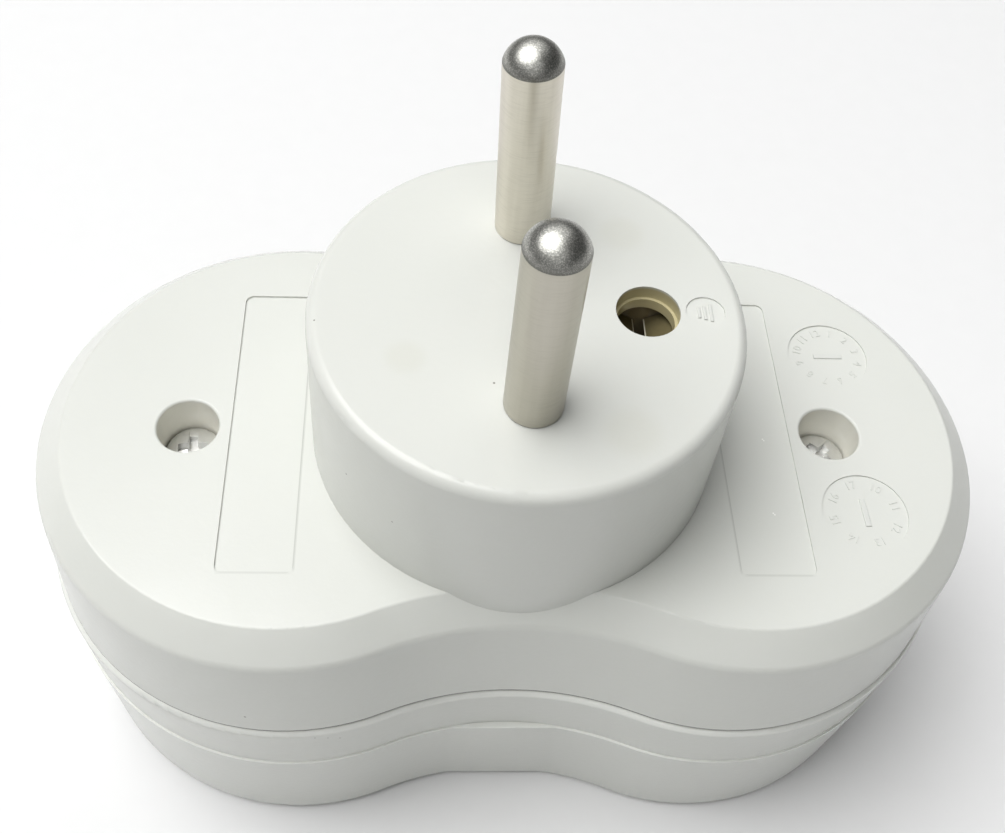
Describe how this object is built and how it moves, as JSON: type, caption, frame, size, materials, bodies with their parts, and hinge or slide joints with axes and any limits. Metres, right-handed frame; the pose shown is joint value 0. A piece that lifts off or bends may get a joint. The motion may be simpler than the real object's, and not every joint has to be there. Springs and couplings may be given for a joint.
{
  "type": "double socket adapter",
  "caption": "Two-lobed plug-in adapter: a round plug boss with two round pins and an earth hole on one side, two round socket wells with earth pins on the other.",
  "frame": {"origin": "centre of the part's box at the plane of the foot, where the two socket wells open", "axes": "+Z along the plug pins, away from the sockets; X through the centres of the two sockets, +X on the earth hole's side; Y through the two live pins"},
  "size_m": [0.0898, 0.0488, 0.0744],
  "materials": {
    "white_plastic": "moulded, semi-gloss",
    "nickel_pins": "nickel plated, satin",
    "contact_brass": "stamped strip",
    "zinc_screws": "zinc plated"
  },
  "bodies": {
    "root": {"rear_cover": "white_plastic", "front_cover": "white_plastic", "line_pin": "nickel_pins", "neutral_pin": "nickel_pins", "earth_pin_left": "nickel_pins", "earth_pin_right": "nickel_pins", "line_strip": "contact_brass", "neutral_strip": "contact_brass", "line_clip_left": "contact_brass", "line_clip_right": "contact_brass", "neutral_clip_left": "contact_brass", "neutral_clip_right": "contact_brass", "earth_strip": "contact_brass", "earth_clip": "contact_brass", "housing_screws": "zinc_screws"}
  },
  "joints": []
}
